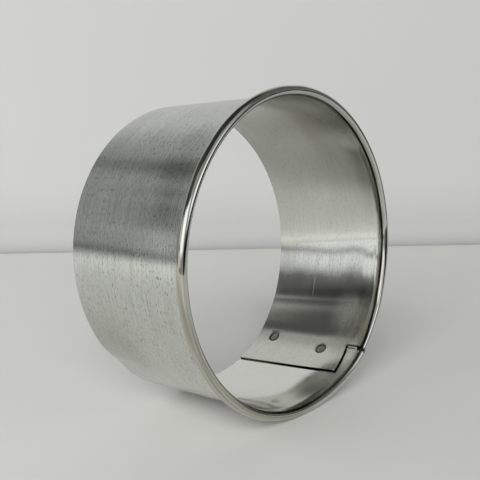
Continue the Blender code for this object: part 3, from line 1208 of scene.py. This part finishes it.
MARKS = (rubbed_bright, film_and_painted_shade, breathed_haze, scratch, darker_patch_by_edge, lap_stain)
print("Marks of use:", ", ".join(mark_of_use.__name__ for mark_of_use in MARKS))

# %% [markdown]
# The bead has stains of its own. Old fat bakes brown on its two flanks, where a cloth slides over it,
# and along one stretch the whole bead is tanned. On its crown the drawing through the rolls left
# long, dark lines.

# %% Stains on the bead
BACK_FLANK = ((122.0, 44.0, 8.0), (BEND + 3.4, 0.9, 0.45))
FLANK = (BEND + 0.5, 0.55, 0.3)


def brown_flanks(at):
    """Brown along the flank by the wall, and for a stretch along the back one."""
    math, tree = at.math, at.tree
    worn_off = patches(tree, at.place, (14.0, 1.2), (2.0, 0.55, 53.0), (0.35, 0.62), (0.15, 0.85))
    flanks = math("MAXIMUM", line_mask(tree, at.across, *FLANK), mark(at, *BACK_FLANK))
    return math("MULTIPLY", flanks, worn_off)


def tanned_bead(at, drawn):
    """The stretch of the bead that is brown all over."""
    stretch = window(at.tree, at.along, (22.0, 34.0), (74.0, 96.0))
    return at.math("MULTIPLY", stretch, at.bead, fade(at.tree, drawn, 0.35, 0.65, 0.3, 0.75))


def drawn_lines(at, drawn):
    """Dark lines along the bead."""
    return at.math("MULTIPLY", at.bead, fade(at.tree, drawn, 0.45, 0.62, 0.0, 0.45))


print("The back flank is brown for about", round(2 * BACK_FLANK[0][1]), "mm")

# %% [markdown]
# The band's finish is a stack of glazes over clean steel, each a mask, a strength and a colour, from
# the grain up to the dirt in the creases. The same masks then say how dull each mark is, and grain and
# specks are deep enough to tilt the light. A stack is easy to reorder, and a mark can be tried alone.

# %% Colours of the band
BRIGHT = (0.72, 0.738, 0.71)
BRIGHT_INSIDE = (0.73, 0.738, 0.685)
# A dark film, partly painted shade
FILM_AND_SHADE = (0.335, 0.335, 0.30)
BROWN = (0.36, 0.33, 0.25)
RUBBED = (0.90, 0.90, 0.86)
GRIMY = (0.33, 0.33, 0.29)
STAIN = (0.52, 0.50, 0.40)
SPECK_BLACK = (0.05, 0.045, 0.04)
SHEARED_OXIDE_AND_SHADE = (0.03, 0.027, 0.025)
CREASE_DIRT_AND_SHADE = (0.03, 0.025, 0.02)
print("Clean steel is", BRIGHT, "outside and", BRIGHT_INSIDE, "inside")

# %% Finish of the band
PITS = {"cell_length": 8.0, "cell_width": 5.0, "share": 0.22, "size": 0.075}
DRAWN_GRAIN = {"streak_length": 30.0, "streak_width": 0.42}
# Roughness of the clean metal, before grain and marks add theirs
POLISH = 0.075
GRAIN_DEPTH = 0.012 * MM


def rolled_steel():
    material, tree, shader = steel("rolled_steel", 0.8)
    at = sheet_places(tree)
    math = at.math
    streaks, pores = place_group(tree, GRAIN, at.place)[:2]
    specks = math("MAXIMUM", place_group(tree, SPECKS, at.place)[0],
                  place_group(tree, SPECKS, at.place, **PITS)[0])
    clouds = place_group(tree, CLOUDS, at.place)[0]
    drawn = place_group(tree, GRAIN, at.place, **DRAWN_GRAIN)[0]
    smudges = patches(tree, at.place, (21.0, 9.0), (3.0, 0.5, 67.0), (0.3, 0.68), (0.55, 1.15))
    sheared = attribute(tree, "sheared")
    dent = fade(tree, attribute(tree, "dent"), 0.02 * MM, 0.11 * MM)
    coarse = math("MULTIPLY", at.on_wall, math("MULTIPLY_ADD", at.outer, 0.5, 0.5))
    rubbed, film_and_shade, haze = rubbed_bright(at), film_and_painted_shade(at, smudges), breathed_haze(at, smudges)
    scratched, stained = scratch(at), lap_stain(at)

    dull = math("ADD", fade(tree, streaks, 0.36, 0.7, 0.0, 0.46), fade(tree, pores, 0.52, 0.72, 0.0, 0.95))
    dull = math("MULTIPLY_ADD", clouds, 0.08, dull)
    dull = math("MULTIPLY", dull, math("MULTIPLY_ADD", rubbed, -0.6, 1.0))
    painted_pit_shade = patches(tree, at.place, (2.2, 2.2), (1.0, 0.5, 41.0), (0.35, 0.6), (0.45, 0.95))
    glazes = (
        (math("MAXIMUM", at.outer, at.bead), 1.0, BRIGHT),
        (rubbed, 1.0, RUBBED),
        (math("MULTIPLY", coarse, dull), 1.0, GRIMY),
        # Film and painted shade under the top of the ring
        (film_and_shade, 1.0, FILM_AND_SHADE),
        (scratched, 0.4, RUBBED),
        (haze, 0.3, RUBBED),
        (darker_patch_by_edge(at, smudges), 0.38, GRIMY),
        (brown_flanks(at), 1.0, BROWN),
        (tanned_bead(at, drawn), 1.0, BROWN),
        (stained, 0.35, STAIN),
        (drawn_lines(at, drawn), 1.0, GRIMY),
        (math("MULTIPLY", specks, math("MULTIPLY_ADD", at.outer, 0.6, 0.4)), 1.0, SPECK_BLACK),
        # Painted shade darkens the dent round each weld hole
        (math("MULTIPLY", dent, painted_pit_shade), 1.0, SPECK_BLACK),
        # Dirt and painted shade in the creases, under the lip and along the lap
        (crease_dirt_and_shade(at), 1.0, CREASE_DIRT_AND_SHADE),
        # Sheared edges near black: dark oxide and painted shade, darker towards the rim
        (math("MULTIPLY", sheared, fade(tree, at.across, 0.0, 24.0, 0.6, 1.0)), 1.0, SHEARED_OXIDE_AND_SHADE),
    )
    colour = BRIGHT_INSIDE
    for mask, strength, tint in glazes:
        colour = mixed(tree, math("MULTIPLY", mask, strength), colour, tint)
    tree.links.new(colour, shader.inputs["Base Color"])

    dulling = (
        (clouds, 0.035), (math("MULTIPLY", at.outer, at.on_wall), 0.04), (at.inner, -0.03), (stained, 0.18),
        (film_and_shade, 0.18), (scratched, 0.22), (haze, 0.22), (streaks, 0.10), (at.bead, -0.07), (sheared, 0.35),
        (dent, 0.35),
    )
    roughness = POLISH
    for mask, amount in dulling:
        roughness = math("MULTIPLY_ADD", mask, amount, roughness)
    tree.links.new(roughness, shader.inputs["Roughness"])

    grain = math("ADD", math("MULTIPLY", streaks, 0.8), math("MULTIPLY", pores, 0.2))
    relief = math("SUBTRACT", math("MULTIPLY", grain, coarse), math("MULTIPLY", specks, 0.8))
    bump(tree, shader, math("ADD", relief, math("MULTIPLY", drawn, at.bead, 0.9)), GRAIN_DEPTH)
    return material


ROLLED_STEEL = rolled_steel()
print(ROLLED_STEEL.name, "takes", len(ROLLED_STEEL.node_tree.nodes), "nodes")

# %% [markdown]
# The wire is drawn, so its grain is long and its skin dull. A weld is metal that melted and froze
# under a copper electrode: no grain, but small pores, yellowish clouds from the heat and a black line
# round its rim, which is heat tint and painted shade of the pit's wall.

# %% Finish of the wire and the welds
WIRE_PALE = (0.46, 0.46, 0.45)
WIRE_DULL = (0.30, 0.29, 0.27)
WELD_DULL = (0.31, 0.295, 0.25)
WELD_PALE = (0.47, 0.45, 0.40)
WELD_PORE = (0.16, 0.14, 0.12)


def wire_steel():
    material, tree, shader = steel("wire_steel", 0.3)
    place = strip_place(tree)
    streaks = place_group(tree, GRAIN, place, streak_length=20.0, streak_width=0.2)[0]
    specks = place_group(tree, SPECKS, place, share=0.4)[0]
    colour = mixed(tree, fade(tree, streaks, 0.35, 0.7), WIRE_PALE, WIRE_DULL)
    tree.links.new(mixed(tree, specks, colour, SPECK_BLACK), shader.inputs["Base Color"])
    tree.links.new(fade(tree, streaks, 0.3, 0.7, 0.32, 0.5), shader.inputs["Roughness"])
    bump(tree, shader, streaks, 0.008 * MM)
    return material


def weld_steel():
    material, tree, shader = steel("weld_steel", 0.0)
    place = strip_place(tree)
    pores = place_group(tree, GRAIN, place, streak_length=6.0, streak_width=0.4)[1]
    clouds = place_group(tree, CLOUDS, place, length=1.6, width=1.3)[0]
    colour = mixed(tree, clouds, WELD_DULL, WELD_PALE)
    colour = mixed(tree, fade(tree, pores, 0.5, 0.75), colour, WELD_PORE)
    # The dark rim: heat tint and painted shade of the pit's wall
    colour = mixed(tree, attribute(tree, "pit_rim_shade"), colour, SPECK_BLACK)
    tree.links.new(colour, shader.inputs["Base Color"])
    tree.links.new(fade(tree, clouds, 0.0, 1.0, 0.34, 0.5), shader.inputs["Roughness"])
    bump(tree, shader, pores, 0.02 * MM)
    return material


WIRE_STEEL, WELD_STEEL = wire_steel(), weld_steel()
print("Metals:", ", ".join(metal.name for metal in (ROLLED_STEEL, WIRE_STEEL, WELD_STEEL)))

# %% [markdown]
# ## The band
#
# The rolled blank is the whole visible object, apart from two weld buttons. The tree is put on it as
# a modifier, its result is taken as a plain mesh, and the modifier goes again. The place of the ring
# is found from the solid: it is tipped until rim and edge both touch the table, then shifted onto the
# box of the solid band.

# %% Roll a blank, and lay the ring down where the frame has it
SMOOTH_UNDER = radians(50)


def rolled(name, mesh, material):
    """Sends a flat mesh through the tree and returns it as a plain object."""
    thing = add_object(name, mesh)
    roll = thing.modifiers.new("roll", "NODES")
    roll.node_group = ROLL
    for socket in ROLL.interface.items_tree:
        if socket.in_out == "INPUT" and socket.name == "Material":
            roll[socket.identifier] = material
    flat = thing.evaluated_get(bpy.context.evaluated_depsgraph_get())
    result = bpy.data.meshes.new_from_object(flat)
    thing.modifiers.remove(roll)
    thing.data = result
    result.name = name
    return thing


def extremes(mesh):
    """The lowest and the highest corner of a mesh."""
    points = [vertex.co for vertex in mesh.vertices]
    return [Vector([pick(point[k] for point in points) for k in range(3)]) for pick in (min, max)]


def laying_down(mesh):
    """The turn and move that put the rolled ring in the place of the solid one."""
    edge_axis = Vector(frame["record"]["mounts"][0]["axis"])
    tip = Matrix.Rotation(atan2(edge_axis.z, edge_axis.y), 4, "X")
    tipped = mesh.copy()
    tipped.transform(tip)
    low, high = extremes(tipped)
    bpy.data.meshes.remove(tipped)
    solid_low, solid_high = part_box("band")
    move = (solid_low + solid_high - low - high) / 2
    move.z = solid_low.z - low.z
    return Matrix.Translation(move) @ tip


band = rolled("rolled_band", blank, ROLLED_STEEL)
LAID = laying_down(band.data)
print("The ring is shifted by", [round(part / MM, 2) for part in LAID.translation], "mm")

# %% Band


def into_place(piece, node):
    """Lays a rolled piece down and ties it to the solid that it stands for."""
    piece.data.shade_smooth()
    piece.data.set_sharp_from_angle(angle=SMOOTH_UNDER)
    piece.data.transform(LAID)
    piece.data.update()
    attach(piece, "root")
    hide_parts(node)


into_place(band, "band")
print("The band has", len(band.data.polygons), "faces")

# %% [markdown]
# ## The wire in the rim
#
# The curl is closed round a wire, which shows only as a dark round end in the butt seam. In flat
# terms the wire is a tube whose skin runs once round the curl, so the rolling tree bends it as well.

# %% Rim wire
WIRE_SIDES = 20
WIRE_STEPS = 240
WIRE_CLEAR_OF_SEAM = BUTT_GAP


def flat_wire():
    """The skin of the wire, laid out beside the bend of the flat strip."""
    skin = bmesh.new()
    place = skin.loops.layers.uv.new("strip")
    first, last = WIRE_CLEAR_OF_SEAM, RIM_END - WIRE_CLEAR_OF_SEAM
    turns = [2 * pi * BEAD_RADIUS * side / WIRE_SIDES for side in range(WIRE_SIDES + 1)]
    rings = []
    for x in even_cuts(first, last, (last - first) / WIRE_STEPS):
        rings.append([skin.verts.new((x, WALL + turn, BEAD_RADIUS - WIRE_RADIUS)) for turn in turns[:-1]])
    for before, after in zip(rings, rings[1:]):
        x0, x1 = before[0].co.x, after[0].co.x
        for side in range(WIRE_SIDES):
            following = (side + 1) % WIRE_SIDES
            face = skin.faces.new((before[side], before[following], after[following], after[side]))
            y0, y1 = WALL + turns[side], WALL + turns[side + 1]
            for loop, uv in zip(face.loops, ((x0, y0), (x0, y1), (x1, y1), (x1, y0))):
                loop[place].uv = uv
    skin.faces.new(rings[0][::-1])
    skin.faces.new(rings[-1])
    return to_mesh(skin, "flat_wire")


wire = rolled("rolled_wire", flat_wire(), WIRE_STEEL)
into_place(wire, "rim_wire")
print("The wire is", round(2 * WIRE_RADIUS / MM, 1), "mm thick and", round(RIM_END / MM), "mm long")

# %% [markdown]
# ## Spot welds
#
# A spot weld is made by two copper electrodes that squeeze the lap while a current melts a button
# between them. The electrode leaves a shallow round pit with a slightly raised floor. The button is
# turned as a profile in flat terms, deep enough to pass both layers, and rolled with the same tree.

# %% Weld buttons
WELD_SIDES = 48
PIT_DEPTH = 0.15 * MM
PIT_FLOOR = PIT_DEPTH - 0.08 * MM
MARK_DEPTH = 0.05 * MM
LAP_DEPTH = LAYER_STEP + SHEET
# Share of the weld's radius, and depth in the lap, from the pit's floor over its wall to the back
WELD_PROFILE = (
    (0.30, PIT_DEPTH - 0.07 * MM),
    (0.60, PIT_DEPTH - 0.05 * MM),
    (0.76, PIT_DEPTH - 0.02 * MM),
    (0.84, PIT_DEPTH + 0.03 * MM),
    (0.92, PIT_DEPTH + 0.05 * MM),
    (1.00, PIT_DEPTH + 0.03 * MM),
    (1.00, LAP_DEPTH - 0.02 * MM),
    (0.97, LAP_DEPTH - 0.01 * MM),
    (0.86, LAP_DEPTH - MARK_DEPTH),
    (0.40, LAP_DEPTH - MARK_DEPTH),
)
# The pit's rim is painted dark, heat tint and painted shade, between these shares of the radius
PIT_RIM_SHADE = (0.84, 0.96)


def flat_weld(centre):
    """One button, turned from its profile; a layer marks its dark rim of heat tint and painted shade."""
    button = bmesh.new()
    pit_rim_shade = button.verts.layers.float.new("pit_rim_shade")
    turns = [2 * pi * side / WELD_SIDES for side in range(WELD_SIDES)]
    x, y = centre
    rings = []
    for share, depth in WELD_PROFILE:
        radius = WELD_RADIUS * share
        ring = [(x + radius * cos(turn), y + radius * sin(turn), depth) for turn in turns]
        rings.append([button.verts.new(point) for point in ring])
        for point in rings[-1]:
            point[pit_rim_shade] = eased(share, *PIT_RIM_SHADE)
    for inner, outer in zip(rings, rings[1:]):
        for side in range(WELD_SIDES):
            following = (side + 1) % WELD_SIDES
            button.faces.new((inner[side], inner[following], outer[following], outer[side]))
    for ring, depth in ((rings[0][::-1], PIT_FLOOR), (rings[-1], LAP_DEPTH - MARK_DEPTH)):
        middle = button.verts.new((*centre, depth))
        for side in range(WELD_SIDES):
            button.faces.new((ring[side], ring[(side + 1) % WELD_SIDES], middle))
    bmesh.ops.recalc_face_normals(button, faces=button.faces)
    flat_uv(button)
    return to_mesh(button, "flat_weld")


for node, (from_tip, depth) in WELDS.items():
    centre = (STRIP_END - from_tip, RING_HEIGHT - depth)
    button = rolled(node.replace("spot_weld", "weld_button"), flat_weld(centre), WELD_STEEL)
    into_place(button, node)
    off_solid = (extremes(button.data)[0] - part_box(node)[0]).length
    print(button.name, "lies", round(off_solid / MM, 3), "mm from its solid")

# %% [markdown]
# ## Finish
#
# The dressed ring has to stay inside the box of the solid one. The plain view transform shows each
# colour about as it was written.

# %% Finish
bpy.context.view_layer.update()
bpy.context.scene.view_settings.view_transform = "Standard"
